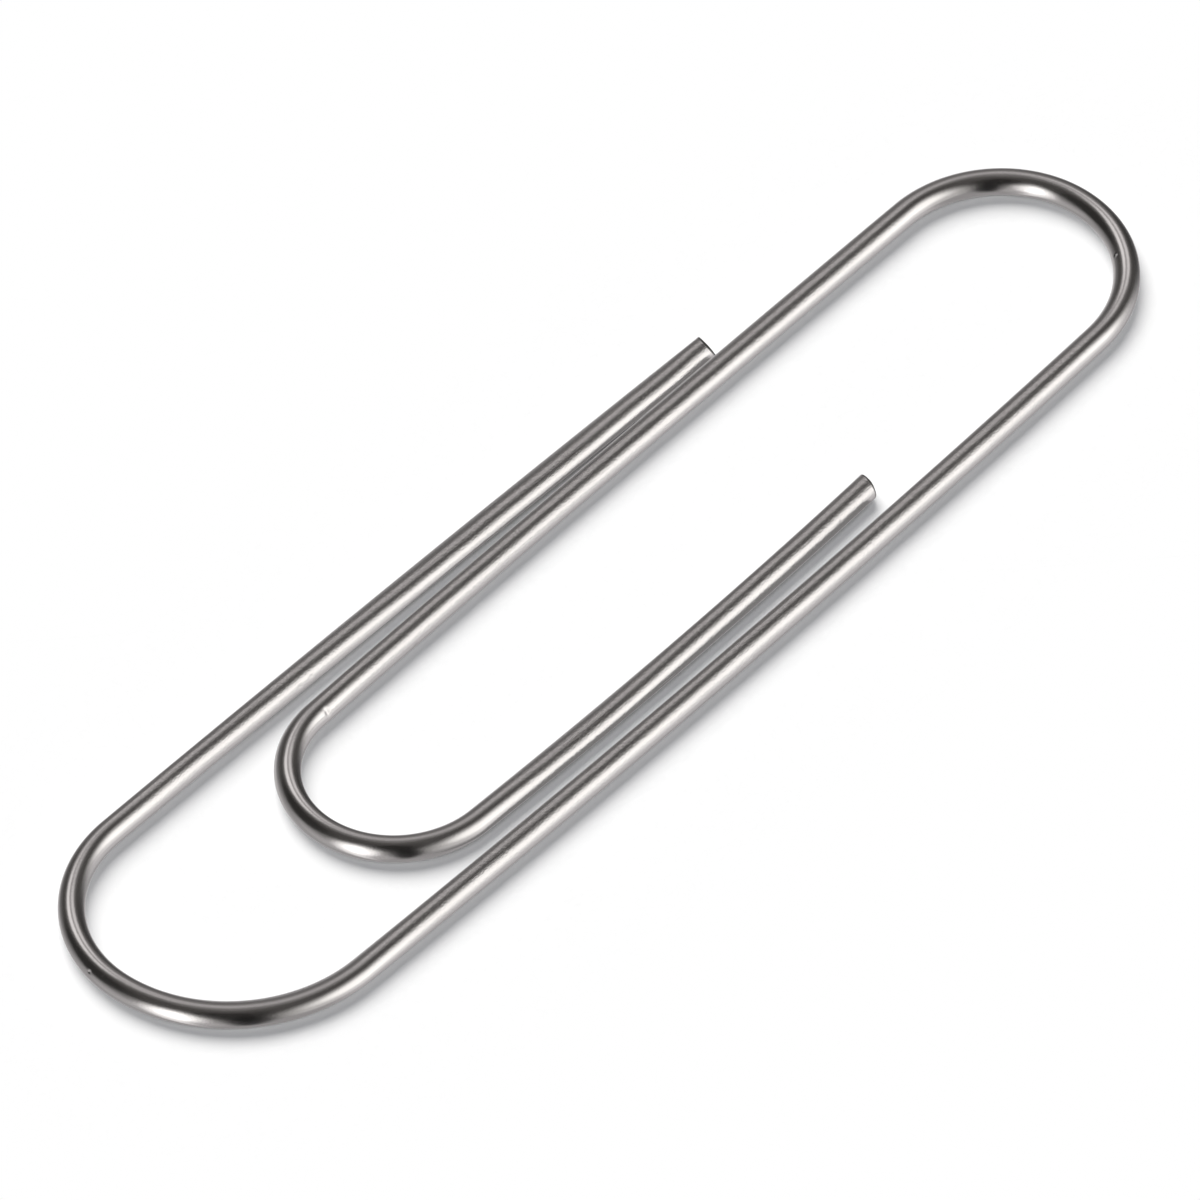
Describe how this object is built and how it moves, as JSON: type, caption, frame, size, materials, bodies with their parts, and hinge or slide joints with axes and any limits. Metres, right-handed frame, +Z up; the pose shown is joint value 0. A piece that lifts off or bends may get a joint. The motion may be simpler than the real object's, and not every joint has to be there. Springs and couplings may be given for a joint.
{
  "type": "paper clip",
  "caption": "Wire paper clip of the common two-loop form: its inner tongue and outer loop flex apart and grip sheets of paper slid between them.",
  "frame": {"origin": "under the middle of the clip, on the surface that it lies flat on", "axes": "+Y along the clip's length, towards the end with one loop; +X across it, towards the spine, the long side that both loops share; +Z up, square to the flat clip"},
  "size_m": [0.0124, 0.05, 0.0009],
  "materials": {
    "drawn_steel_wire": "bright drawn steel wire, plated, with fine lengthwise draw marks"
  },
  "bodies": {
    "spine": {"end_bend_spine_half": "drawn_steel_wire", "spine": "drawn_steel_wire", "top_bend_spine_half": "drawn_steel_wire"},
    "outer_leg": {"outer_leg": "drawn_steel_wire", "end_bend_leg_half": "drawn_steel_wire"},
    "tongue": {"top_bend_tongue_half": "drawn_steel_wire", "tongue_side": "drawn_steel_wire", "tongue_bend_tongue_half": "drawn_steel_wire"},
    "tongue_leg": {"tongue_bend_leg_half": "drawn_steel_wire", "tongue_leg": "drawn_steel_wire"}
  },
  "joints": [
    {"name": "outer_leg_flex", "type": "hinge", "parent": "spine", "child": "outer_leg", "pos_m": [-0.00066, -0.02453, 0.00047], "axis": [1, 0, 0], "range_deg": [-10, 10], "stiffness_Nm_per_rad": 0.2},
    {"name": "tongue_flex", "type": "hinge", "parent": "spine", "child": "tongue", "pos_m": [0.00056, 0.02453, 0.00047], "axis": [-1, 0, 0], "range_deg": [-10, 10], "stiffness_Nm_per_rad": 0.2},
    {"name": "tongue_leg_flex", "type": "hinge", "parent": "tongue", "child": "tongue_leg", "pos_m": [-0.00002, -0.01468, 0.00047], "axis": [1, 0, 0], "range_deg": [-8, 8], "stiffness_Nm_per_rad": 0.25}
  ]
}
